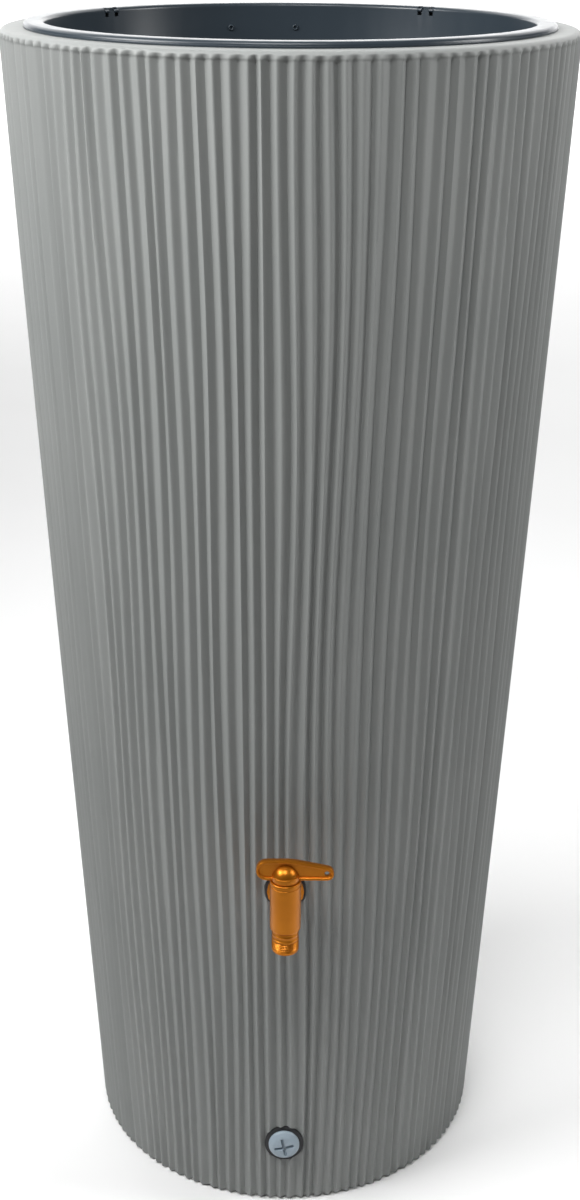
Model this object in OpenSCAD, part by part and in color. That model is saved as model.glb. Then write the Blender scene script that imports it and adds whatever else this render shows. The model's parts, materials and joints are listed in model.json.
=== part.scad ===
// Free-standing rain barrel: a tapered, fluted water tank with a planter bowl hung in its mouth,
// a quarter-turn plug tap on the front wall and a screwed drain plug just above the foot.
// Millimetres, +Z up. Origin at the centre of the flat base; the tap and the drain face -Y.

/* [Tank] */
// Height of the shoulder that the planter bowl rests on
tank_h = 1224; // [1000:1:1300]
// Outer radius of the wall at the base
base_r = 213; // [190:1:235]
// Outer radius of the wall at the shoulder
top_r = 290; // [282:1:310]
// Thickness of the moulded wall behind the flutes
wall = 4; // [3.5:0.5:6]
// Thickness of the tank's floor
floor_t = 7; // [5:1:12]
// Radius of the mouth that the planter bowl hangs in
mouth_r = 250; // [249:1:256]
// Depth of the turned-down lip round the mouth
mouth_lip = 14; // [8:1:30]
// Number of flutes round the wall
flutes = 124; // [60:4:140]
// Depth of a flute at the base
flute_d = 3; // [1.5:0.5:3.5]
// Height of the smooth band above the flutes
band_h = 10; // [10:1:30]
// Radius of the rounded outer edge of the shoulder
shoulder_round = 8; // [5:1:9]

/* [Planter bowl] */
// Outer radius of the bowl's rim
rim_r = 265; // [262:1:270]
// Width of the rim
rim_w = 20.5; // [18:0.5:22]
// Height of the rim above the shoulder
rim_h = 6; // [5:0.5:12]
// Thickness of the bowl's wall
bowl_t = 3; // [2.5:0.5:4]
// Depth of the bowl under the shoulder
bowl_depth = 205; // [120:5:260]
// How much narrower the bowl is at its floor
bowl_draft = 14; // [6:1:30]
// Angle from +X to the first group of overflow windows
window_a = 52.4; // [0:0.1:90]
// Angle from +X to the first pair of moulded studs
stud_a = 97.4; // [0:0.1:100]

/* [Tap] */
// Height of the tap's inlet
tap_z = 392; // [300:1:600]
// Distance from the wall to the upright axis of the tap
tap_reach = 50; // [44:1:60]
// Outer radius of the tap's barrel at its top
barrel_r = 15.2; // [14.6:0.1:16]
// Distance from the long end of the handle to the tap's axis
handle_long = 46.7; // [40:0.1:60]
// Distance from the short end of the handle to the tap's axis
handle_short = 28.5; // [22:0.1:34]
// Outer radius of the G3/4 hose thread on the outlet
outlet_r = 13.2; // [13.1:0.05:13.3]

/* [Drain] */
// Height of the drain plug
drain_z = 75; // [60:1:120]
// Outer radius of the drain plug's head
plug_r = 16.3; // [15:0.1:18]
// Angle of the cross recess in the head at rest
cross_a = 12.5; // [0:0.5:45]

/* [Hidden] */
$fn = 96;
round_fn = 360;      // sides of the large turned shapes

gap = 0.06;          // running clearance of a turning or screwed fit
slack = 0.3;         // clearance between faces that only pass each other
seat_depth = 3.5;    // depth of the spot faces in the fluted wall
seat_r = 21.5;       // radius of the spot faces
crest_relief = 0.4;  // how far the crests stay inside the smooth band
slope = (top_r - base_r) / tank_h;

window_pitch = 7.5;  // half the spacing of the two windows in a group
window_w = 5.5;
window_h = 4;

thread_r = 12.9;     // G3/4 threads, drawn as plain cylinders on their crests
shank_len = 27;      // length of the tap's threaded shank inside the wall
boss_r = 30;         // moulded bosses behind the two fittings
boss_len = 29;
insert_r = 18;
insert_len = 26;
land_len = 10;       // knurled land at each end of an insert

tap_seat_y = -(wall_r(tap_z) - seat_depth);
gasket_r = 20.5;
gasket_t = 3;
ring_t = 5.5;
tap_y = -(wall_r(tap_z) + tap_reach);
chamber_r = 11;              // bore that the valve plug turns in
chamber_z = tap_z - 12;      // floor of that bore
passage_r = 7;
barrel_z0 = tap_z - 9;
barrel_z1 = tap_z + 43.5;
outlet_z = tap_z - 33;
gland_t = 10;
stem_r = 6;
plug_z0 = chamber_z + slack;
plug_z1 = barrel_z1 - gland_t - 0.5 - slack;
stem_sq = 8;
ring_grooves = [tap_z + 17, tap_z + 26];
o_ring_s = 1.2;

handle_z = barrel_z1 + 0.5;  // underside of the handle
handle_t = 7;
handle_web = 3;
handle_rim = 2.5;
long_end_r = 6.75;
short_end_r = 10.2;
handle_h = 20.7;
hub_r = 13.5;
hub_h = 6;
dome_r = 12.2;
dome_h = 9.5;
hole_r = 2.5;

drain_seat_y = -(wall_r(drain_z) - seat_depth);
drain_gasket_t = 2;
drain_shank = 16;
drain_head_t = 8;
drain_hole_r = 14;   // hole in the wall in front of the drain's insert

// Outer radius of the tank's wall at height z
function wall_r(z) = base_r + slope * z;

// Point where a line from p touches the upper side of the circle at c with radius r
function touch(p, c, r) =
    let (d = c - p, a = atan2(d[1], d[0]) + asin(r / norm(d)), s = sqrt(d * d - r * r))
    p + s * [cos(a), sin(a)];

// Points of an arc round c from angle a0 to a1
function arc(c, r, a0, a1, n = 8) =
    [for (i = [0 : n]) c + r * [cos(a0 + (a1 - a0) * i / n), sin(a0 + (a1 - a0) * i / n)]];

// Cylinder lying along Y from y0 to y1 through the point x, z
module along_y(r, y0, y1, z, x = 0) {
    translate([x, y0, z]) rotate([-90, 0, 0]) cylinder(r = r, h = y1 - y0);
}

// ---------------------------------------------------------------- tank

// Fluted frustum: the crests lie just inside the smooth band
module fluted_wall(h) {
    crest = base_r - crest_relief;
    linear_extrude(height = h, scale = wall_r(h) / base_r)
        polygon([for (i = [0 : 2 * flutes - 1])
            let (a = 180 * i / flutes, r = crest - (i % 2) * flute_d) r * [cos(a), sin(a)]]);
}

// Smooth band and rounded shoulder above the flutes
module shoulder_band() {
    r1 = wall_r(tank_h);
    rotate_extrude($fn = round_fn)
        polygon(concat([[mouth_r, tank_h - band_h], [wall_r(tank_h - band_h), tank_h - band_h]],
            arc([r1 - shoulder_round - 0.3, tank_h - shoulder_round], shoulder_round, 0, 90),
            [[mouth_r, tank_h]]));
}

// Space inside the tank, under the shoulder
module tank_inside() {
    thick = wall + flute_d * top_r / base_r;
    z_top = tank_h - band_h - 5;
    z_roof = tank_h - wall - 1;
    rotate_extrude($fn = round_fn)
        polygon([[0, floor_t], [wall_r(0) - thick - 12, floor_t],
            [wall_r(floor_t + 12) - thick, floor_t + 12], [wall_r(z_top) - thick, z_top],
            [mouth_r + 16, z_roof], [mouth_r + wall, z_roof],
            [mouth_r + wall, tank_h - mouth_lip], [0, tank_h - mouth_lip]]);
}

module fitting_boss(seat_y, z) {
    along_y(boss_r, seat_y + seat_depth, seat_y + boss_len, z);
}

// Spot face, hole and pocket for the insert of a fitting
module fitting_hole(seat_y, z, hole_r = thread_r + slack) {
    along_y(seat_r, seat_y - 10, seat_y, z);
    along_y(hole_r, seat_y - 1, seat_y + 2, z);
    along_y(insert_r + gap, seat_y + 1, seat_y + boss_len + 1, z);
}

module tank_shell() {
    color("#8c8e8c") difference() {
        union() {
            difference() {
                union() {
                    fluted_wall(tank_h - band_h + 1);
                    shoulder_band();
                }
                tank_inside();
                translate([0, 0, tank_h - mouth_lip - 1]) cylinder(r = mouth_r, h = mouth_lip + 2);
            }
            fitting_boss(tap_seat_y, tap_z);
            fitting_boss(drain_seat_y, drain_z);
        }
        fitting_hole(tap_seat_y, tap_z);
        fitting_hole(drain_seat_y, drain_z, drain_hole_r);
    }
}

// Brass thread insert moulded into a boss, with two knurled lands
module thread_insert(seat_y, z) {
    color("#b58b3c") difference() {
        union() {
            along_y(insert_r - 1.5, seat_y + 1, seat_y + 1 + insert_len, z);
            for (y = [1, 1 + insert_len - land_len])
                along_y(insert_r, seat_y + y, seat_y + y + land_len, z);
        }
        along_y(thread_r + gap, seat_y, seat_y + insert_len + 2, z);
    }
}

module tap_insert() { thread_insert(tap_seat_y, tap_z); }

module drain_insert() { thread_insert(drain_seat_y, drain_z); }

// ---------------------------------------------------------------- planter bowl

// Half section of the bowl: a rolled rim that stands on the shoulder, a drafted wall and a floor
module bowl_section() {
    in_r = rim_r - rim_w;
    z1 = tank_h + rim_h;
    z0 = tank_h - bowl_depth;
    low_r = in_r - bowl_draft;
    round_r = 4;
    outside = concat(
        [[0, z0], [low_r + bowl_t - 10, z0], [low_r + bowl_t, z0 + 10], [in_r + bowl_t, tank_h],
         [in_r + bowl_t, z1 - bowl_t], [rim_r - bowl_t, z1 - bowl_t], [rim_r - bowl_t, tank_h],
         [rim_r, tank_h]],
        arc([rim_r - round_r, z1 - round_r], round_r, 0, 90),
        arc([in_r + round_r, z1 - round_r], round_r, 90, 180));
    inside = [[in_r, tank_h], [low_r, z0 + 10], [low_r - 10, z0 + bowl_t], [0, z0 + bowl_t]];
    polygon(concat(outside, inside));
}

// One group of overflow windows: two windows through the wall, each under a nick in the rim,
// and a shallow notch in the rim between them
module window_group() {
    in_r = rim_r - rim_w;
    z1 = tank_h + rim_h;
    for (s = [-1, 1]) translate([in_r, s * window_pitch - window_w / 2, z1]) {
        translate([-3, 0, -9.5]) cube([bowl_t + 5, window_w, window_h]);
        translate([-3, 0, -2]) cube([7.5, window_w, 3]);
    }
    translate([in_r - 2, -window_pitch, z1 - 3.5]) cube([4, 2 * window_pitch, 5]);
}

// Pair of small ring-shaped studs on the inside of the bowl
module stud_pair() {
    z = tank_h + rim_h - 27;
    r = rim_r - rim_w - bowl_draft * (tank_h - z) / bowl_depth;
    for (s = [-1, 1]) rotate([0, 0, s * 8.7]) translate([r - 1.4, 0, z]) rotate([0, 90, 0])
        difference() {
            cylinder(r = 3.4, h = 2.4);
            translate([0, 0, -1]) cylinder(r = 1.4, h = 2);
        }
}

module planter_bowl() {
    color("#3f4a54") union() {
        difference() {
            rotate_extrude() bowl_section();
            for (k = [0 : 3]) rotate([0, 0, window_a + 90 * k]) window_group();
        }
        for (k = [0 : 3]) rotate([0, 0, stud_a + 90 * k]) stud_pair();
    }
}

// ---------------------------------------------------------------- tap

module tap_gasket() {
    color("#1d1d20") difference() {
        along_y(gasket_r, tap_seat_y - gasket_t, tap_seat_y, tap_z);
        along_y(thread_r + gap, tap_seat_y - gasket_t - 1, tap_seat_y + 1, tap_z);
    }
}

// Threaded ring that clamps the gasket and holds the tap upright
module lock_ring() {
    y1 = tap_seat_y - gasket_t;
    color("#c98a2b") difference() {
        union() {
            along_y(18.5, y1 - ring_t + 1.5, y1, tap_z);
            along_y(17, y1 - ring_t, y1 - ring_t + 1.5, tap_z);
        }
        along_y(thread_r + gap, y1 - ring_t - 1, y1 + 1, tap_z);
    }
}

module tap_body() {
    arm_y1 = tap_seat_y - gasket_t - ring_t - 1;
    neck_z = barrel_z0 - 8;
    color("#c98a2b") difference() {
        union() {
            translate([0, tap_y, barrel_z0])
                cylinder(r1 = barrel_r - 0.2, r2 = barrel_r, h = barrel_z1 - barrel_z0);
            translate([0, tap_y, neck_z]) cylinder(r = outlet_r - 0.6, h = barrel_z0 - neck_z);
            translate([0, tap_y, neck_z + 2]) cylinder(r = outlet_r, h = 2);
            translate([0, tap_y, outlet_z + 1.5]) cylinder(r = outlet_r, h = neck_z - outlet_z - 1.5);
            translate([0, tap_y, outlet_z]) cylinder(r1 = outlet_r - 1.2, r2 = outlet_r, h = 1.5);
            along_y(12, tap_y, arm_y1, tap_z);
            along_y(thread_r, arm_y1, tap_seat_y + shank_len, tap_z);
        }
        translate([0, tap_y, chamber_z]) cylinder(r = chamber_r, h = 60);
        translate([0, tap_y, outlet_z - 1]) cylinder(r = passage_r + 0.5, h = 60);
        along_y(passage_r, tap_y, tap_seat_y + shank_len + 1, tap_z);
        along_y(9, tap_y, tap_y + 15, tap_z);
    }
}

// Seal between the inlet and the valve plug
module port_seal() {
    color("#2b2b2e") difference() {
        along_y(8.9, tap_y, tap_y + 14.9, tap_z);
        along_y(passage_r, tap_y - 1, tap_y + 16, tap_z);
        translate([0, tap_y, tap_z - 15]) cylinder(r = chamber_r, h = 30);
    }
}

// Ring that keeps the valve plug down in its bore
module gland_ring() {
    color("#b58b3c") translate([0, tap_y, barrel_z1 - gland_t - 0.5]) difference() {
        cylinder(r = chamber_r - gap, h = gland_t);
        translate([0, 0, -1]) cylinder(r = stem_r + gap, h = gland_t + 2);
    }
}

// Hollow plug with one side window: shut with the window across the inlet, open when it faces it
module valve_plug() {
    color("#d8d2c0") translate([0, tap_y, 0]) difference() {
        union() {
            translate([0, 0, plug_z0]) cylinder(r = chamber_r - gap, h = plug_z1 - plug_z0);
            translate([0, 0, plug_z1 - 1]) cylinder(r = stem_r, h = handle_z + 0.2 - plug_z1 + 1);
            translate([-stem_sq / 2, -stem_sq / 2, handle_z - 1]) cube([stem_sq, stem_sq, 11]);
        }
        translate([0, 0, plug_z0 - 1]) cylinder(r = passage_r + 0.5, h = tap_z + 8 - plug_z0 + 1);
        translate([-chamber_r - 1, 0, tap_z]) rotate([0, 90, 0]) cylinder(r = 6.5, h = chamber_r + 1);
        for (z = ring_grooves) translate([0, 0, z - 1.3]) difference() {
            cylinder(r = chamber_r + 1, h = 2.6);
            translate([0, 0, -1]) cylinder(r = chamber_r - 2 * o_ring_s - 0.1, h = 5);
        }
    }
}

module plug_o_rings() {
    color("#1d1d20") for (z = ring_grooves) translate([0, tap_y, z])
        rotate_extrude() translate([chamber_r - gap - o_ring_s, 0]) circle(r = o_ring_s, $fn = 32);
}

// Outline of the wing handle in X and Z, drawn smaller all round by inset
module wing_outline(inset = 0) {
    long_c = [handle_long - long_end_r, long_end_r];
    short_c = [-handle_short + short_end_r, short_end_r];
    peak = [6, handle_h - inset];
    edge = touch(peak, long_c, long_end_r - inset);
    translate(long_c) circle(r = long_end_r - inset, $fn = 64);
    translate(short_c) circle(r = short_end_r - inset, $fn = 64);
    polygon([[short_c[0], inset], [long_c[0], inset], long_c, edge, peak,
        [short_c[0], 2 * short_end_r - inset]]);
}

module tap_handle() {
    socket = stem_sq + 2 * gap;
    color("#c98a2b") translate([0, tap_y, handle_z]) difference() {
        union() {
            difference() {
                translate([0, handle_t / 2, 0]) rotate([90, 0, 0])
                    linear_extrude(height = handle_t) wing_outline();
                for (s = [0, 1]) mirror([0, s, 0]) translate([0, handle_t, 0]) rotate([90, 0, 0])
                    linear_extrude(height = handle_t - handle_web / 2) wing_outline(handle_rim);
            }
            cylinder(r = hub_r, h = hub_h);
            intersection() {
                translate([0, 0, hub_h]) cylinder(r = hub_r, h = dome_h + 1);
                translate([0, 0, hub_h + dome_h - dome_ball()]) sphere(r = dome_ball());
            }
        }
        translate([-socket / 2, -socket / 2, -1]) cube([socket, socket, 12]);
        translate([0, 0, -1]) cylinder(r = stem_r + gap, h = 1.5);
        along_y(hole_r, -handle_t, handle_t, long_end_r, handle_long - long_end_r);
    }
}

// Radius of the ball whose cap is the hub's dome
function dome_ball() = (dome_r * dome_r + dome_h * dome_h) / (2 * dome_h);

// ---------------------------------------------------------------- drain

module drain_gasket() {
    color("#1d1d20") difference() {
        along_y(gasket_r, drain_seat_y - drain_gasket_t, drain_seat_y, drain_z);
        along_y(thread_r + gap, drain_seat_y - drain_gasket_t - 1, drain_seat_y + 1, drain_z);
    }
}

// Screwed plug with a rounded head and a cross recess
module drain_plug() {
    y1 = drain_seat_y - drain_gasket_t;
    y0 = y1 - drain_head_t;
    color("#8f9ba6") difference() {
        union() {
            translate([0, y1, drain_z]) rotate([90, 0, 0]) rotate_extrude()
                polygon(concat([[0, 0], [plug_r, 0]],
                    arc([plug_r - 3, drain_head_t - 3.5], 3, 0, 70, 6), [[0, drain_head_t]]));
            along_y(thread_r, y1, y1 + drain_shank, drain_z);
        }
        for (a = [0, 90]) translate([0, y0 + 1.2, drain_z]) rotate([0, a - cross_a, 0])
            cube([20, 5, 2.4], center = true);
        along_y(8, y1 - 1, y1 + drain_shank + 1, drain_z);
    }
}

tank_shell();
planter_bowl();
tap_insert();
tap_gasket();
lock_ring();
tap_body();
port_seal();
gland_ring();
valve_plug();
plug_o_rings();
tap_handle();
drain_insert();
drain_gasket();
drain_plug();
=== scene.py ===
"""Looks of a free-standing rain barrel: fluted tank, planter bowl, gold tap and drain plug."""
import json
import math

import bmesh
import bpy
import numpy as np
from mathutils import Matrix, Vector


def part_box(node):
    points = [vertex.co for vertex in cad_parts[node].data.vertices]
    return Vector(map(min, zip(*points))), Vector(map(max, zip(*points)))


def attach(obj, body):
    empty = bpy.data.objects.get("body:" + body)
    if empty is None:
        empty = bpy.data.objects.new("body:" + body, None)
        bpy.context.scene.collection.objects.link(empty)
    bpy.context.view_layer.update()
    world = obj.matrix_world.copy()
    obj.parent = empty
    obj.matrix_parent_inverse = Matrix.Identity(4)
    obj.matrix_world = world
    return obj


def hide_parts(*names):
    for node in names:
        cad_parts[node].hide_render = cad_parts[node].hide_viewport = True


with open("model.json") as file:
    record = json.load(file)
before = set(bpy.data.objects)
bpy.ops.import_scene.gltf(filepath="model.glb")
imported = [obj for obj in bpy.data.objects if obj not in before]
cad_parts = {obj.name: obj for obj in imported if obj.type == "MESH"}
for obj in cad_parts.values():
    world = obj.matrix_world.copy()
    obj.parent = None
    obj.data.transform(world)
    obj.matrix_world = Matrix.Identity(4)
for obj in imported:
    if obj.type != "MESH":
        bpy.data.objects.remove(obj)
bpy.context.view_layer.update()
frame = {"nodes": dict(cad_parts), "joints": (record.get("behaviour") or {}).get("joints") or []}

MM = 0.001
TAU = 2 * math.pi


# ---------------------------------------------------------------- places taken from the frame

def node_points(name):
    """All vertices of a CAD node as an array, in metres."""
    return np.array([v.co for v in frame["nodes"][name].data.vertices])


def joint(name):
    return next(j for j in frame["joints"] if j["name"] == name)


def largest_radius(points, low, high):
    """Largest distance from the Z axis among points between two heights."""
    band = points[(points[:, 2] >= low) & (points[:, 2] <= high)]
    return float(np.hypot(band[:, 0], band[:, 1]).max())


tank_points = node_points("tank_shell")
TANK_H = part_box("tank_shell")[1].z
TOP_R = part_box("tank_shell")[1].x
BASE_R = largest_radius(tank_points, -MM, MM)
MOUTH_R = float(np.hypot(*tank_points[tank_points[:, 2] > TANK_H - MM][:, :2].T).min())
SLOPE = (TOP_R - BASE_R) / TANK_H
TAP = Vector(joint("tap_turn")["pos_m"])
TAP_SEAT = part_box("tap_gasket")[1].y
INLET_Z = (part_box("lock_ring")[0].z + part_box("lock_ring")[1].z) / 2
DRAIN_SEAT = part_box("drain_gasket")[1].y
DRAIN_Z = (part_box("drain_gasket")[0].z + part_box("drain_gasket")[1].z) / 2
THREAD_R = 0.0132
THREAD_PITCH = 1.814 * MM
SPOT_R = 0.0215


def wall_r(z):
    """Outer radius of the tank's wall at height z."""
    return BASE_R + SLOPE * z


# ---------------------------------------------------------------- mesh helpers

def linked_object(name, data):
    """Object with the given data, linked to the scene."""
    made = bpy.data.objects.new(name, data)
    bpy.context.scene.collection.objects.link(made)
    return made


def new_mesh(name, verts, faces):
    mesh = bpy.data.meshes.new(name)
    mesh.from_pydata([tuple(v) for v in verts], [], faces)
    return mesh


def turn_normals_out(mesh):
    bm = bmesh.new()
    bm.from_mesh(mesh)
    bmesh.ops.recalc_face_normals(bm, faces=bm.faces)
    bm.to_mesh(mesh)
    bm.free()


def add_piece(name, verts, faces, material, body, slot, sharp=None):
    """Makes a shaded mesh object that rides on a body."""
    mesh = new_mesh(name, verts, faces)
    mesh.validate()
    piece = linked_object(name, mesh)
    finish_piece(piece, material, body, sharp)
    return piece


def finish_piece(piece, material, body, sharp=None):
    """Shades a piece, gives it its one material and puts it on its body."""
    mesh = piece.data
    turn_normals_out(mesh)
    mesh.shade_smooth()
    if sharp is not None:
        mesh.set_sharp_from_angle(angle=math.radians(sharp))
    mesh.materials.clear()
    mesh.materials.append(material)
    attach(piece, body)


def arc(cx, cy, r, a0, a1, n):
    """Points of an arc from a0 to a1 degrees, both ends included."""
    turn = [math.radians(a0 + (a1 - a0) * i / n) for i in range(n + 1)]
    return [(cx + r * math.cos(t), cy + r * math.sin(t)) for t in turn]


def thread_cut(turns):
    """Depth of a screw thread, 0 at its crest and 1 at its root, after a number of turns."""
    half_crest, flank = 0.08, 0.34
    off_crest = min(turns % 1, 1 - turns % 1)
    return min(max((off_crest - half_crest) / flank, 0), 1)


def lathe(profile, n=96, closed=False):
    """Turns (radius, height, thread depth) points round +Z. A radius of 0 becomes a pole."""
    verts, rings = [], []
    for r, z, *depth in profile:
        if r < 1e-7:
            rings.append([len(verts)])
            verts.append((0.0, 0.0, z))
            continue
        rings.append(list(range(len(verts), len(verts) + n)))
        for i in range(n):
            radius = r - (depth[0] * thread_cut(z / THREAD_PITCH - i / n) if depth else 0)
            verts.append((radius * math.cos(TAU * i / n), radius * math.sin(TAU * i / n), z))
    faces = []
    pairs = list(zip(rings, rings[1:])) + ([(rings[-1], rings[0])] if closed else [])
    for a, b in pairs:
        for i in range(n):
            k = (i + 1) % n
            if len(a) == 1 and len(b) == 1:
                break
            if len(a) == 1:
                faces.append((a[0], b[k], b[i]))
            elif len(b) == 1:
                faces.append((a[i], a[k], b[0]))
            else:
                faces.append((a[i], a[k], b[k], b[i]))
    return verts, faces


def threaded(r, z0, z1, depth):
    """Profile points, in millimetres, of a thread that fades in and out over one turn."""
    pitch = THREAD_PITCH / MM
    points_per_turn = 8
    count = round((z1 - z0) / pitch * points_per_turn)
    points = []
    for i in range(count + 1):
        z = z0 + (z1 - z0) * i / count
        fade = min(1, (z - z0) / pitch, (z1 - z) / pitch)
        points.append((r, z, depth * fade))
    return points


def mm(profile):
    """Profile points given in millimetres, as metres."""
    return [tuple(value * MM for value in point) for point in profile]


def placed(verts, matrix):
    return [matrix @ Vector(v) for v in verts]


def joined(*parts):
    """Several (verts, faces) pairs as one."""
    verts, faces = [], []
    for v, f in parts:
        base = len(verts)
        verts += list(v)
        faces += [tuple(i + base for i in face) for face in f]
    return verts, faces


def to_front(y, z, x=0.0):
    """Matrix that turns local +Z to point out of the front wall, towards -Y."""
    return Matrix.Translation((x, y, z)) @ Matrix.Rotation(math.pi / 2, 4, "X")


def apply_modifiers(piece):
    graph = bpy.context.evaluated_depsgraph_get()
    mesh = bpy.data.meshes.new_from_object(piece.evaluated_get(graph))
    piece.modifiers.clear()
    piece.data = mesh


def cut(piece, verts, faces, overlapping=False, operation="DIFFERENCE"):
    """Cuts closed shapes out of a closed mesh, or joins them to it."""
    cutter = linked_object("cutter", new_mesh("cutter", verts, faces))
    turn_normals_out(cutter.data)
    change = piece.modifiers.new("cut", "BOOLEAN")
    change.operation = operation
    change.solver = "EXACT"
    change.use_self = overlapping
    change.object = cutter
    apply_modifiers(piece)
    bpy.data.objects.remove(cutter)


# ---------------------------------------------------------------- material helpers

def new_material(name):
    """A material with nodes, its Principled shader and its Object coordinates."""
    material = bpy.data.materials.new(name)
    material.use_nodes = True
    tree = material.node_tree
    shader = tree.nodes["Principled BSDF"]
    coords = tree.nodes.new("ShaderNodeTexCoord")
    return material, tree, shader, coords


def mapped(tree, coords, scale):
    mapping = tree.nodes.new("ShaderNodeMapping")
    mapping.inputs["Scale"].default_value = scale
    tree.links.new(coords.outputs["Object"], mapping.inputs["Vector"])
    return mapping.outputs["Vector"]


def noise_node(tree, vector, scale, detail=3.0, rough=0.5):
    made = tree.nodes.new("ShaderNodeTexNoise")
    made.inputs["Scale"].default_value = scale
    made.inputs["Detail"].default_value = detail
    made.inputs["Roughness"].default_value = rough
    tree.links.new(vector, made.inputs["Vector"])
    return made.outputs["Fac"]


def ramp(tree, value, stops):
    """Colour ramp between two (position, colour) stops."""
    made = tree.nodes.new("ShaderNodeValToRGB")
    for element, (place, colour) in zip(made.color_ramp.elements, stops):
        element.position = place
        element.color = (*colour, 1)
    tree.links.new(value, made.inputs["Fac"])
    return made.outputs["Color"]


def spread(tree, value, low, high):
    """Maps 0..1 to low..high."""
    made = tree.nodes.new("ShaderNodeMapRange")
    made.inputs["To Min"].default_value = low
    made.inputs["To Max"].default_value = high
    tree.links.new(value, made.inputs["Value"])
    return made.outputs["Result"]


def mixed(tree, factor, a, b):
    made = tree.nodes.new("ShaderNodeMix")
    made.data_type = "RGBA"
    for value, socket in ((factor, made.inputs[0]), (a, made.inputs[6]), (b, made.inputs[7])):
        if isinstance(value, (tuple, float, int)):
            socket.default_value = (*value, 1) if isinstance(value, tuple) else value
        else:
            tree.links.new(value, socket)
    return made.outputs[2]


def bump(tree, shader, height, strength, distance):
    made = tree.nodes.new("ShaderNodeBump")
    made.inputs["Strength"].default_value = strength
    made.inputs["Distance"].default_value = distance
    tree.links.new(height, made.inputs["Height"])
    tree.links.new(made.outputs["Normal"], shader.inputs["Normal"])


def moulded_plastic(name, dark, light, rough, grain=420.0, grain_depth=0.00006, specular=0.5):
    """Moulded plastic: cloudy colour, fine grain, and a roughness that drifts."""
    material, tree, shader, coords = new_material(name)
    plain = mapped(tree, coords, (1, 1, 1))
    tall = mapped(tree, coords, (1, 1, 0.12))
    clouds = noise_node(tree, plain, 5.0, 4.0)
    streaks = noise_node(tree, tall, 60.0, 5.0, 0.6)
    specks = noise_node(tree, plain, 900.0, 2.0)
    base = ramp(tree, clouds, [(0.3, dark), (0.7, light)])
    mean = tuple((a + b) / 2 for a, b in zip(dark, light))
    worn = tuple(c * 1.18 for c in mean)
    base = mixed(tree, spread(tree, streaks, 0.0, 0.35), base, worn)
    base = mixed(tree, spread(tree, specks, 0.0, 0.22), base, tuple(c * 0.72 for c in mean))
    tree.links.new(base, shader.inputs["Base Color"])
    tree.links.new(spread(tree, streaks, rough - 0.07, rough + 0.09), shader.inputs["Roughness"])
    shader.inputs["Specular IOR Level"].default_value = specular
    bump(tree, shader, noise_node(tree, plain, grain, 3.0, 0.6), 0.5, grain_depth)
    return material


def tank_plastic():
    return moulded_plastic("tank_plastic", (0.202, 0.212, 0.207), (0.228, 0.236, 0.230), 0.55)


def bowl_plastic():
    return moulded_plastic("bowl_plastic", (0.020, 0.028, 0.036), (0.028, 0.037, 0.046), 0.30,
                           grain=300.0, grain_depth=0.00003, specular=0.32)


def plug_plastic():
    return moulded_plastic("plug_plastic", (0.25, 0.31, 0.36), (0.33, 0.40, 0.46), 0.36)


def acetal():
    return moulded_plastic("acetal", (0.55, 0.51, 0.42), (0.64, 0.60, 0.50), 0.4)


def rubber():
    return moulded_plastic("seal_rubber", (0.014, 0.014, 0.016), (0.022, 0.022, 0.025), 0.6,
                           grain=700.0)


def gold_finish():
    """Orange-gold metallised finish with a fine pearl grain."""
    material, tree, shader, coords = new_material("gold_finish")
    plain = mapped(tree, coords, (1, 1, 1))
    clouds = noise_node(tree, plain, 38.0, 3.0)
    pearl = noise_node(tree, plain, 1500.0, 2.0)
    base = ramp(tree, clouds, [(0.25, (0.41, 0.124, 0.003)), (0.75, (0.53, 0.172, 0.006))])
    base = mixed(tree, spread(tree, pearl, 0.0, 0.25), base, (0.62, 0.25, 0.02))
    tree.links.new(base, shader.inputs["Base Color"])
    tree.links.new(spread(tree, clouds, 0.34, 0.44), shader.inputs["Roughness"])
    shader.inputs["Metallic"].default_value = 0.85
    shader.inputs["Coat Weight"].default_value = 0.12
    shader.inputs["Coat Roughness"].default_value = 0.25
    bump(tree, shader, pearl, 0.35, 0.00003)
    return material


def brass():
    """Turned brass with fine rings of tool marks."""
    material, tree, shader, coords = new_material("turned_brass")
    plain = mapped(tree, coords, (1, 1, 1))
    stretched = mapped(tree, coords, (1, 30, 1))
    clouds = noise_node(tree, plain, 60.0, 3.0)
    marks = noise_node(tree, stretched, 120.0, 2.0)
    base = ramp(tree, clouds, [(0.3, (0.50, 0.33, 0.11)), (0.7, (0.64, 0.46, 0.18))])
    tree.links.new(base, shader.inputs["Base Color"])
    tree.links.new(spread(tree, marks, 0.22, 0.42), shader.inputs["Roughness"])
    shader.inputs["Metallic"].default_value = 1.0
    bump(tree, shader, marks, 0.3, 0.00004)
    return material


# ---------------------------------------------------------------- tank

FLUTES = 124
STEPS = 12               # mesh columns in one flute
FLUTE_TOP = 3.0 * MM     # the flutes end this far under the shoulder
FLUTE_RUN_OUT = 7 * MM   # over this height they grow to their full depth
FLUTE_DEPTH = (4.2 * MM, 5.2 * MM)    # at the base and at the top
CREST_RELIEF = 0.25 * MM
BELLY = 1.2 * MM         # how much fuller the wall is at half height
SHOULDER_R = 8 * MM
FOOT_R = 4.5 * MM
INNER_STEP = 8           # outer columns to one inner column
LIP_H = 14 * MM          # height of the lip turned down round the mouth

wander = np.random.default_rng(11)
WARPS = [(n, wander.uniform(-2.2, 2.2), size, wander.uniform(0, TAU))
         for n, size in ((2, 0.8), (5, 0.5), (9, 0.4), (17, 0.3), (29, 0.25), (41, 0.22), (53, 0.2))]
FLUTE_SKEW = wander.uniform(0.40, 0.60, FLUTES)     # where the crest lies between two valleys
FLUTE_SIZE = wander.uniform(0.78, 1.0, FLUTES)
FLUTE_END = wander.uniform(-0.8 * MM, 0.8 * MM, FLUTES)


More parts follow.
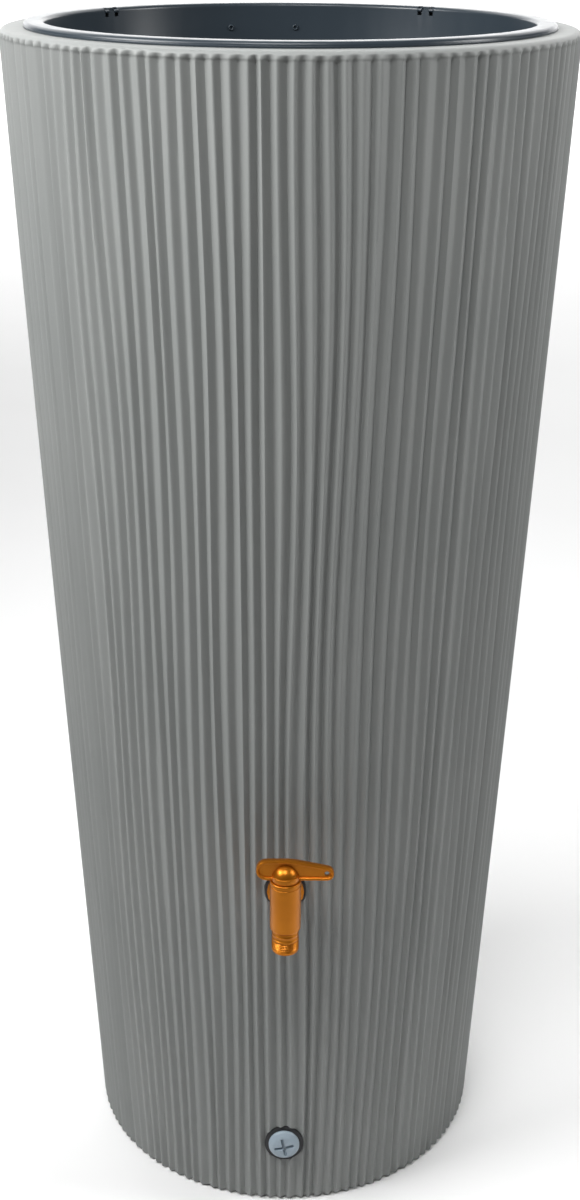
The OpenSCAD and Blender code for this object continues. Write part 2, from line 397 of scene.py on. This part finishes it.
def flute_phase(theta, t):
    """Phase of the flutes at an angle and at a share t of the height; one flute is one turn of it."""
    phase = FLUTES * theta
    for n, drift, size, start in WARPS:
        phase = phase + size * np.sin(n * theta + drift * TAU * t + start)
    return phase


def flute_angles(t):
    """Angles of the mesh columns at a share t of the height, so that columns follow the flutes."""
    theta = np.linspace(-0.3, TAU + 0.3, 24000)
    phase = flute_phase(theta, t)
    wanted = TAU * np.arange(FLUTES * STEPS) / STEPS
    return np.interp(wanted, phase, theta)


def flute_drop(z):
    """How far each column of the wall lies under the crests at height z."""
    column = np.arange(FLUTES * STEPS)
    flute = (column + STEPS // 2) // STEPS % FLUTES
    valley = column // STEPS
    local = (column % STEPS) / STEPS
    skew = FLUTE_SKEW[valley]
    rise = np.where(local < skew, local / skew, (1 - local) / (1 - skew))
    crest = 0.65 * rise + 0.35 * (0.5 - 0.5 * np.cos(np.pi * rise))
    depth = FLUTE_DEPTH[0] + (FLUTE_DEPTH[1] - FLUTE_DEPTH[0]) * z / TANK_H
    end = TANK_H - FLUTE_TOP + FLUTE_END[flute]
    run_out = np.clip((end - z) / FLUTE_RUN_OUT, 0, 1)
    return depth * FLUTE_SIZE[flute] * (1 - crest) * np.sin(run_out * np.pi / 2)


def ring_at(radius, theta, z):
    r = np.broadcast_to(radius, theta.shape)
    return np.column_stack([r * np.cos(theta), r * np.sin(theta), np.full(theta.shape, z)])


def tank_rows():
    """Rows of the outer wall, from the foot up over the shoulder and down the mouth's lip."""
    rows = []
    heights = [FOOT_R * (1 - math.cos(math.radians(a))) for a in (0, 18, 36, 54, 72, 90)]
    high = TANK_H - FLUTE_TOP - 12 * MM
    heights += list(np.linspace(FOOT_R + 3 * MM, high, 76))
    heights += list(np.linspace(high, TANK_H - SHOULDER_R, 6))[1:]
    for z in heights:
        theta = flute_angles(z / TANK_H)
        up = min(z / FOOT_R, 1)
        tuck = FOOT_R * (1 - math.sqrt(1 - (1 - up) ** 2))
        belly = BELLY * math.sin(math.pi * z / TANK_H)
        rows.append(ring_at(wall_r(z) + belly - tuck - CREST_RELIEF - flute_drop(z), theta, z))
    theta = flute_angles((TANK_H - SHOULDER_R) / TANK_H)
    centre = TOP_R - SHOULDER_R - CREST_RELIEF
    for r, z in arc(centre, TANK_H - SHOULDER_R, SHOULDER_R, 0, 90, 14)[1:]:
        rows.append(ring_at(r - flute_drop(z), theta, z))
    bend = 2 * MM
    rows.append(ring_at((centre + MOUTH_R) / 2, theta, TANK_H))
    for r, z in arc(MOUTH_R + bend, TANK_H - bend, bend, 90, 180, 4):
        rows.append(ring_at(r, theta, z))
    rows.append(ring_at(MOUTH_R, theta, TANK_H - LIP_H))
    return rows, theta[::INNER_STEP]


def tank_inner_rows(theta):
    """Rows of the inside, from the bottom of the mouth's lip down to the floor's middle."""
    thick, floor_t, corner_r = 8 * MM, 7 * MM, 12 * MM
    lip_r, neck = MOUTH_R + 4 * MM, TANK_H - 25 * MM
    profile = [(lip_r, TANK_H - LIP_H), (lip_r, TANK_H - 6 * MM),
               (MOUTH_R + 16 * MM, TANK_H - 5.5 * MM), (wall_r(neck) - thick, neck)]
    for t in np.linspace(0.95, 0.02, 14):
        profile.append((wall_r(t * TANK_H) - thick, t * TANK_H))
    profile += arc(BASE_R - thick - corner_r, floor_t + corner_r, corner_r, 0, -90, 5)
    profile.append((0.1, floor_t))
    return [ring_at(r, theta, z) for r, z in profile]


def stitched(rows):
    """Quads between rows of one size, and fans where the next row has fewer columns."""
    faces, starts, total = [], [], 0
    for row in rows:
        starts.append(total)
        total += len(row)
    for a, b, row_a, row_b in zip(starts, starts[1:], rows, rows[1:]):
        n, m = len(row_a), len(row_b)
        if n == m:
            faces += [(a + i, a + (i + 1) % n, b + (i + 1) % n, b + i) for i in range(n)]
            continue
        step, half = n // m, n // m // 2
        for j in range(m):
            near, far = b + j, b + (j + 1) % m
            faces += [(near, a + j * step + i, a + (j * step + i + 1) % n) for i in range(half)]
            faces.append((near, a + j * step + half, far))
            faces += [(far, a + j * step + i, a + (j * step + i + 1) % n) for i in range(half, step)]
    return faces


def closing_disc(start, count, centre):
    return [(start + i, start + (i + 1) % count, centre) for i in range(count)]


def fluted_tank(material):
    """The whole tank as one closed shell, with a spot face and a hole for each fitting."""
    outer, inner_theta = tank_rows()
    rows = outer + tank_inner_rows(inner_theta)
    verts = np.vstack(rows)
    faces = stitched(rows)
    floor_z = rows[-1][0][2]
    count = len(verts)
    verts = np.vstack([verts, [[0, 0, floor_z], [0, 0, 0]]])
    faces += closing_disc(count - len(rows[-1]), len(rows[-1]), count)
    faces += closing_disc(0, len(rows[0]), count + 1)
    piece = add_piece("fluted_tank", verts, faces, material, "tank", "tank_plastic")
    pockets = []
    for seat, z in ((TAP_SEAT, INLET_Z), (DRAIN_SEAT, DRAIN_Z)):
        inside, outside = -30 * MM, 12 * MM
        v, f = lathe([(0, inside), (THREAD_R, inside), (THREAD_R, 0), (SPOT_R, 0),
                      (SPOT_R + 0.6 * MM, outside), (0, outside)], 64)
        pockets.append((placed(v, to_front(seat, z)), f))
    cut(piece, *joined(*pockets))
    finish_piece(piece, material, "tank", sharp=50)
    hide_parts("tank_shell")


def fitting_boss(name, seat, z, material):
    """Round boss moulded behind a fitting, with the pocket that its insert sits in."""
    pocket_r, hole_r = 18.05, THREAD_R / MM
    profile = [(pocket_r, -29), (pocket_r, -2), (hole_r, -2), (hole_r, -4.5),
               (29, -4.5), (30, -6), (29.4, -27)]
    profile += arc(27.4, -27, 2, 0, -90, 4)
    v, f = lathe(mm(profile), 72, closed=True)
    v = placed(v, to_front(seat, z))
    add_piece(name, v, f, material, "tank", "tank_plastic", sharp=35)


# ---------------------------------------------------------------- planter bowl

RIM_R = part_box("planter_bowl")[1].x
RIM_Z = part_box("planter_bowl")[1].z
BOWL_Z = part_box("planter_bowl")[0].z
RIM_W = 20.5 * MM
INNER_R = RIM_R - RIM_W  # inside of the bowl at its rim
BOWL_T = 3 * MM
BOWL_DRAFT = 14 * MM
QUARTERS = (0, 90, 180, 270)
SIDES = (-1, 1)
WINDOW_A = 52.4          # angle of the first pair of overflow windows
WINDOW_SPACE = 7.5 * MM  # from the middle of a pair to each window
STUD_A = 97.4            # angle of the first pair of studs


def bowl_profile():
    """Outside from the middle of the bottom to the rolled rim, and back down the inside."""
    low = INNER_R - BOWL_DRAFT
    corner_r, roll_r, edge_r = 10 * MM, 4 * MM, 0.6 * MM
    points = [(0, BOWL_Z)]
    points += arc(low + BOWL_T - corner_r, BOWL_Z + corner_r, corner_r, -90, 0, 6)
    points += [(INNER_R + BOWL_T, TANK_H), (INNER_R + BOWL_T, RIM_Z - BOWL_T),
               (RIM_R - BOWL_T, RIM_Z - BOWL_T), (RIM_R - BOWL_T, TANK_H)]
    points += arc(RIM_R - edge_r, TANK_H + edge_r, edge_r, -90, 0, 3)
    points += arc(RIM_R - edge_r, TANK_H + 1.8 * MM, edge_r, 0, 90, 3)
    points += [(RIM_R - 1.0 * MM, TANK_H + 2.6 * MM)]
    points += arc(RIM_R - 4.2 * MM, RIM_Z - roll_r, roll_r, 0, 90, 8)
    points += arc(INNER_R + roll_r, RIM_Z - roll_r, roll_r, 90, 180, 8)
    points += [(INNER_R, TANK_H + 1 * MM), (INNER_R - 2 * MM, TANK_H - 30 * MM)]
    points += [(INNER_R - BOWL_DRAFT / 2, (TANK_H + BOWL_Z) / 2)]
    points += arc(low - corner_r, BOWL_Z + 13 * MM, corner_r, 0, -90, 6)
    points += [(0.12, BOWL_Z + BOWL_T), (0, BOWL_Z + BOWL_T)]
    return points


def box_mesh(x, y, z):
    """Box between pairs of limits along X, Y and Z."""
    verts = [(a, b, c) for a in x for b in y for c in z]
    faces = [(0, 1, 3, 2), (4, 6, 7, 5), (0, 4, 5, 1), (2, 3, 7, 6), (0, 2, 6, 4), (1, 5, 7, 3)]
    return verts, faces


def turned(part, degrees):
    verts, faces = part
    return placed(verts, Matrix.Rotation(math.radians(degrees), 4, "Z")), faces


def rim_cut(depth, span, low, high):
    """Box that cuts the bowl's inside face near the rim; heights are from the rim's top."""
    return box_mesh((INNER_R - 4 * MM, INNER_R + depth * MM), span,
                    (RIM_Z + low * MM, RIM_Z + high * MM))


def planter_bowl(material):
    """Bowl with a rolled rim, and a notch, two nicks and two windows in each quarter."""
    v, f = lathe(bowl_profile(), 288)
    piece = add_piece("bowl_insert", v, f, material, "bowl", "bowl_plastic")
    half = 2.7 * MM
    cuts = []
    for quarter in QUARTERS:
        angle = WINDOW_A + quarter
        for side in SIDES:
            span = (side * WINDOW_SPACE - half, side * WINDOW_SPACE + half)
            cuts.append(turned(rim_cut(5.5, span, -9.5, -5.5), angle))
            cuts.append(turned(rim_cut(4.5, span, -2, 2), angle))
        cuts.append(turned(rim_cut(2.2, (-4.6 * MM, 4.6 * MM), -3.4, 2), angle))
    cut(piece, *joined(*cuts))
    finish_piece(piece, material, "bowl", sharp=38)
    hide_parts("planter_bowl")


def window_bars(material):
    """Rounded bars between the nicks in the rim and the windows under them."""
    profile = [(0, -3.4)] + arc(0.9, -2.6, 0.8, -90, 0, 3)
    profile += arc(0.9, 2.6, 0.8, 0, 90, 3) + [(0, 3.4)]
    v, f = lathe(mm(profile), 20)
    parts = []
    for quarter in QUARTERS:
        for side in SIDES:
            lie = to_front(side * WINDOW_SPACE, RIM_Z - 3.8 * MM, INNER_R + 0.3 * MM)
            parts.append(turned((placed(v, lie), f), WINDOW_A + quarter))
    add_piece("window_bars", *joined(*parts), material, "bowl", "bowl_plastic", sharp=60)


def bowl_studs(material):
    """Pairs of small ring-shaped studs under the rim."""
    half_angle = 8.7
    z = RIM_Z - 27 * MM
    r = INNER_R - 2 * MM * (TANK_H - z) / (30 * MM)
    profile = [(0, 0.1), (1.2, 0.1), (1.5, 0.5), (1.9, 1.3)] + arc(2.5, 0.95, 0.65, 120, 0, 4)
    profile += [(3.4, 0.2), (3.5, -1.2), (0, -1.2)]
    v, f = lathe(mm(profile), 32)
    inward = Matrix.Translation((r, 0, z)) @ Matrix.Rotation(-math.pi / 2, 4, "Y")
    stud = placed(v, inward), f
    parts = [turned(stud, STUD_A + quarter + side * half_angle)
             for quarter in QUARTERS for side in SIDES]
    add_piece("bowl_studs", *joined(*parts), material, "bowl", "bowl_plastic", sharp=50)


# ---------------------------------------------------------------- tap

TAP_LOW, TAP_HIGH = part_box("tap_body")
HANDLE_LOW, HANDLE_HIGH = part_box("tap_handle")
LONG_END_R = 6.75        # round ends of the wing, in millimetres
SHORT_END_R = 10.2


def at_inlet(part):
    """Part with local +Z out of the wall, from the tap's seat on the inlet's axis."""
    return placed(part[0], to_front(TAP_SEAT, INLET_Z)), part[1]


def at_tap(part, z=INLET_Z):
    """Part with local +Z up the tap's own axis, from height z."""
    return placed(part[0], Matrix.Translation((0, TAP.y, z))), part[1]


def tap_body(material):
    """Barrel with a collar, a neck and a threaded outlet, on a hollow arm with a threaded shank."""
    low, top = (TAP_LOW.z - INLET_Z) / MM, (TAP_HIGH.z - INLET_Z) / MM
    outside = [(0, low)] + arc(12.0, low + 1.2, 1.2, -90, 0, 4) + [(13.2, low + 2.6), (12.5, low + 3.1)]
    outside += threaded(13.2, low + 3.3, low + 13.6, 0.95)
    outside += arc(12.6, low + 14.2, 0.6, 0, 60, 3) + [(12.5, low + 15.4), (12.5, low + 17.8)]
    outside += arc(12.5, low + 19, 0.6, -60, 60, 4) + [(12.5, low + 20.2), (12.5, low + 22.2)]
    outside += [(11.9, low + 22.7), (11.9, low + 23.6)] + arc(13.8, low + 25.2, 1.2, -90, 0, 5)
    outside += [(15.15, top - 5.2), (14.7, top - 4.9), (14.7, top - 4.4), (15.2, top - 4.0)]
    outside += arc(14.0, top - 1.2, 1.2, 0, 90, 5) + [(0, top)]
    v, f = at_tap(lathe(mm(outside), 96))
    piece = add_piece("tap_spout", v, f, material, "tank", "gold_finish")
    axis = (TAP_SEAT - TAP.y) / MM
    back = (TAP_SEAT - TAP_HIGH.y) / MM
    arm = [(0, back), (12.1, back)] + threaded(12.9, back + 1, 8.4, 0.9)
    arm += [(12.9, 9.3), (12.2, 10), (12.0, 11), (12.0, axis), (0, axis)]
    cut(piece, *at_inlet(lathe(mm(arm), 72)), operation="UNION")
    bores = joined(
        at_tap(lathe(mm([(0, -12), (11, -12), (11, top + 5), (0, top + 5)]), 64)),
        at_tap(lathe(mm([(0, low - 3), (8.3, low - 3), (8.3, low), (7.5, low + 0.8),
                         (7.5, -8), (0, -8)]), 64)),
        at_inlet(lathe(mm([(0, back - 3), (7, back - 3), (7, axis), (0, axis)]), 56)),
        at_inlet(lathe(mm([(0, axis - 15), (9, axis - 15), (9, axis), (0, axis)]), 56)))
    cut(piece, *bores, overlapping=True)
    finish_piece(piece, material, "tank", sharp=42)
    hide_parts("tap_body")


def lock_ring(material):
    """Clamping ring with a scalloped edge and a raised front face."""
    profile = [(12.96, 3.0)] + arc(18.0, 3.5, 0.5, -90, 0, 3) + arc(18.0, 6.5, 0.5, 0, 90, 3)
    profile += [(17.0, 7.1)] + arc(16.4, 7.9, 0.6, 0, 90, 3) + [(13.5, 8.5), (12.96, 8.1)]
    verts, faces = lathe(mm(profile), 144, closed=True)
    edge_r, scallops, scallop_depth = 17.9 * MM, 18, 0.018
    shaped = []
    for x, y, z in verts:
        dip = 0.5 - 0.5 * math.cos(scallops * math.atan2(y, x))
        shrink = 1 - scallop_depth * dip if math.hypot(x, y) > edge_r else 1
        shaped.append((x * shrink, y * shrink, z))
    v, f = at_inlet((shaped, faces))
    piece = add_piece("clamp_ring", v, f, material, "tank", "gold_finish", sharp=35)
    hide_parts("lock_ring")


def flat_gasket(name, seat, z, outer, thick, material, body, node):
    """Flat rubber ring with rounded edges and a shallow bead round its front face."""
    edge, bore_r, groove = 0.7, 12.98, thick - 0.25
    profile = [(bore_r, 0)] + arc(outer - edge, edge, edge, -90, 0, 4)
    profile += arc(outer - edge, thick - edge, edge, 0, 90, 4)
    profile += [(outer - 1.4, groove), (outer - 2.0, groove), (outer - 2.4, thick), (bore_r, thick)]
    v, f = lathe(mm(profile), 120, closed=True)
    piece = add_piece(name, placed(v, to_front(seat, z)), f, material, body, "seal_rubber", sharp=40)
    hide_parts(node)


def wing_outline(inset):
    """Outline of the wing handle in X and Z, in millimetres, drawn smaller all round by inset."""
    tail, nose = HANDLE_LOW.x / MM + SHORT_END_R, HANDLE_HIGH.x / MM - LONG_END_R
    peak = (6.0, (HANDLE_HIGH.z - HANDLE_LOW.z) / MM - inset)
    away = (nose - peak[0], LONG_END_R - peak[1])
    lean = math.atan2(away[1], away[0]) + math.asin((LONG_END_R - inset) / math.hypot(*away))
    points = arc(nose, LONG_END_R, LONG_END_R - inset, -90, 90 + math.degrees(lean), 14)
    start = (peak[0] + 6 * math.cos(lean), peak[1] + 6 * math.sin(lean))
    level = 2 * SHORT_END_R - inset
    end = (peak[0] - 8, peak[1] + 8 * (level - peak[1]) / (peak[0] - tail))
    for i in range(9):
        t = i / 8
        points.append(tuple((1 - t) ** 2 * a + 2 * t * (1 - t) * b + t * t * c
                            for a, b, c in zip(start, peak, end)))
    return points + arc(tail, SHORT_END_R, SHORT_END_R - inset, 90, 270, 18)


def wing_mesh():
    """Flat wing with a rounded rim round a recess on each side."""
    side = [(1.5, 3.1), (2.9, 2.7), (3.4, 2.3), (3.5, 1.9), (3.5, 0.9), (3.3, 0.3), (2.8, 0)]
    rows = [(y, inset) for y, inset in side] + [(-y, inset) for y, inset in reversed(side)]
    verts = [(x * MM, y * MM, z * MM) for y, inset in rows for x, z in wing_outline(inset)]
    n = len(verts) // len(rows)
    faces = [(r * n + i, r * n + (i + 1) % n, (r + 1) * n + (i + 1) % n, (r + 1) * n + i)
             for r in range(len(rows) - 1) for i in range(n)]
    faces += [tuple(range(n)), tuple(range((len(rows) - 1) * n, len(rows) * n))]
    return verts, faces


def at_handle(part):
    return at_tap(part, HANDLE_LOW.z)


def rod(r, low, high, n):
    """Closed cylinder round local +Z, in millimetres."""
    return lathe(mm([(0, low), (r, low), (r, high), (0, high)]), n)


def tap_handle(material):
    """Wing with a domed hub, a square socket and a hole through its long end."""
    v, f = at_handle(wing_mesh())
    piece = add_piece("wing_handle", v, f, material, "handle", "gold_finish")
    dome_r, dome_h, dome_z, hub_top = 12.2, 9.5, 6, 15.5
    ball = (dome_r ** 2 + dome_h ** 2) / (2 * dome_h)
    middle = hub_top - ball
    foot = math.degrees(math.asin((dome_z - middle) / ball))
    hub = [(0, 0)] + arc(13.0, 0.5, 0.5, -90, 0, 3) + arc(12.9, 5.0, 0.6, 0, 70, 4)
    hub += [(12.3, 5.8)] + arc(0, middle, ball, foot, 86, 18) + [(0, hub_top)]
    cut(piece, *at_handle(lathe(mm(hub), 96)), operation="UNION")
    half = 4.06 * MM
    v, f = rod(2.5, -8, 8, 40)
    v = placed(v, to_front(0, LONG_END_R * MM, HANDLE_HIGH.x - LONG_END_R * MM))
    cut(piece, *joined(
        at_handle(box_mesh((-half, half), (-half, half), (-1 * MM, 11 * MM))),
        at_handle(rod(6.06, -1, 0.5, 48)),
        at_handle((v, f))), overlapping=True)
    finish_piece(piece, material, "handle", sharp=40)
    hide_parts("tap_handle")


# ---------------------------------------------------------------- drain plug

def rounded_slot(length, width, low, high):
    """Slot-shaped prism with round ends, along local X."""
    outline = arc(length / 2 - width / 2, 0, width / 2, -90, 90, 8)
    outline += arc(width / 2 - length / 2, 0, width / 2, 90, 270, 8)
    n = len(outline)
    verts = [(x * MM * grow, y * MM * grow, z * MM)
             for z, grow in ((low, 0.8), (high, 1.12)) for x, y in outline]
    faces = [(i, (i + 1) % n, n + (i + 1) % n, n + i) for i in range(n)]
    return verts, faces + [tuple(range(n)), tuple(range(n, 2 * n))]


def drain_plug(material):
    """Domed screw plug with a cross recess and a hollow threaded shank."""
    low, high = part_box("drain_plug")
    front, back = (DRAIN_SEAT - low.y) / MM, (DRAIN_SEAT - high.y) / MM
    head_r = high.x / MM
    profile = [(8.0, back), (12.2, back)] + threaded(12.9, back + 0.6, 0.9, 0.9)
    profile += [(12.0, 1.4), (12.0, 2.0), (head_r - 0.5, 2.0), (head_r, 2.5), (head_r, 3.4)]
    profile += arc(head_r - 3.0, 3.4, 3.0, 8, 62, 6)
    profile += [(12.4, front - 1.35), (10.5, front - 0.85), (7.5, front - 0.4), (4, front - 0.1)]
    profile += [(0, front), (0, 3.0), (7.0, 3.0), (8.0, 2.2)]
    v, f = lathe(mm(profile), 96, closed=True)
    out = to_front(DRAIN_SEAT, DRAIN_Z)
    piece = add_piece("screw_plug", placed(v, out), f, material, "drain_screw", "plug_plastic")
    cross_a = 12.5
    v, f = rounded_slot(20.5, 3.2, front - 5.2, front + 0.6)
    slots = [(placed(v, out @ Matrix.Rotation(math.radians(angle), 4, "Z")), f)
             for angle in (cross_a, cross_a + 90)]
    cut(piece, *joined(*slots), overlapping=True)
    finish_piece(piece, material, "drain_screw", sharp=40)
    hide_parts("drain_plug")


# ---------------------------------------------------------------- carried-over CAD nodes

def finish_nodes(finishes):
    """Gives the CAD nodes inside the barrel their materials."""
    for material, names in finishes:
        for name in names:
            mesh = frame["nodes"][name].data
            mesh.materials.clear()
            mesh.materials.append(material)


# ---------------------------------------------------------------- stage

def area_light(name, place, target, size, power, spread=180):
    """Soft panel; spread narrows its beam, in degrees."""
    data = bpy.data.lights.new(name, "AREA")
    data.shape = "RECTANGLE"
    data.size, data.size_y = size
    data.energy = power
    data.spread = math.radians(spread)
    lamp = linked_object(name, data)
    lamp.location = place
    lamp.rotation_euler = (Vector(target) - Vector(place)).to_track_quat("-Z", "Y").to_euler()


def studio():
    """Soft panels round the barrel, and two large ones that light the floor behind it."""
    world = bpy.data.worlds.new("studio")
    world.use_nodes = True
    background = world.node_tree.nodes["Background"]
    background.inputs["Color"].default_value = (1, 1, 1, 1)
    background.inputs["Strength"].default_value = 0.05
    bpy.context.scene.world = world
    area_light("key", (-2.0, -0.8, 2.4), (0, 0, 1.5), (1.4, 1.2), 30.0, 90)
    area_light("overhead", (-0.3, -1.5, 3.2), (0, -0.2, 1.2), (1.3, 0.7), 5.2, 50)
    area_light("right_edge", (2.4, -0.4, 2.0), (0, 0, 1.4), (0.5, 1.2), 11.0, 90)
    area_light("ceiling", (0, 16, 8), (0, 16, 0), (26, 22), 4200)
    area_light("horizon", (0, 14, 2.6), (0, 0, 2.2), (20, 3.4), 700)


def floor():
    material, tree, shader, coords = new_material("pale_floor")
    cloudy = noise_node(tree, mapped(tree, coords, (1, 1, 1)), 1.5, 2.0)
    tree.links.new(ramp(tree, cloudy, [(0.3, (0.90, 0.90, 0.90)), (0.7, (0.93, 0.93, 0.93))]),
                   shader.inputs["Base Color"])
    shader.inputs["Roughness"].default_value = 0.9
    bpy.ops.mesh.primitive_plane_add(size=80, location=(0, 0, -0.0005))
    plane = bpy.context.object
    plane.name = "floor"
    plane.data.materials.append(material)


def camera():
    """Looks down at the front from a little above the rim."""
    data = bpy.data.cameras.new("camera")
    data.lens = 52.42
    data.sensor_width = 36
    data.shift_x = 0.0013
    data.shift_y = -0.1844
    data.clip_end = 200
    made = linked_object("camera", data)
    looks_down, leans = 15.764, 0.33
    tilt = Matrix.Rotation(math.radians(90 - looks_down), 4, "X")
    roll = Matrix.Rotation(math.radians(leans), 4, "Z")
    made.matrix_world = Matrix.Translation((0, -1.7788, 1.3583)) @ tilt @ roll
    bpy.context.scene.camera = made


# ---------------------------------------------------------------- the scene

camera()
studio()
floor()
bpy.context.scene.view_settings.view_transform = "Standard"

grey, dark, gold = tank_plastic(), bowl_plastic(), gold_finish()
black, metal, pale, blue_grey = rubber(), brass(), acetal(), plug_plastic()

fluted_tank(grey)
fitting_boss("tap_boss", TAP_SEAT, INLET_Z, grey)
fitting_boss("drain_boss", DRAIN_SEAT, DRAIN_Z, grey)
planter_bowl(dark)
window_bars(dark)
bowl_studs(dark)
tap_body(gold)
lock_ring(gold)
tap_handle(gold)
flat_gasket("tap_seal_ring", TAP_SEAT, INLET_Z, 20.5, 3.0, black, "tank", "tap_gasket")
flat_gasket("drain_seal_ring", DRAIN_SEAT, DRAIN_Z, 20.5, 2.0, black, "drain_seal", "drain_gasket")
drain_plug(blue_grey)
finish_nodes([
    (black, ["plug_o_rings", "port_seal"]),
    (metal, ["tap_insert", "drain_insert", "gland_ring"]),
    (pale, ["valve_plug"]),
])
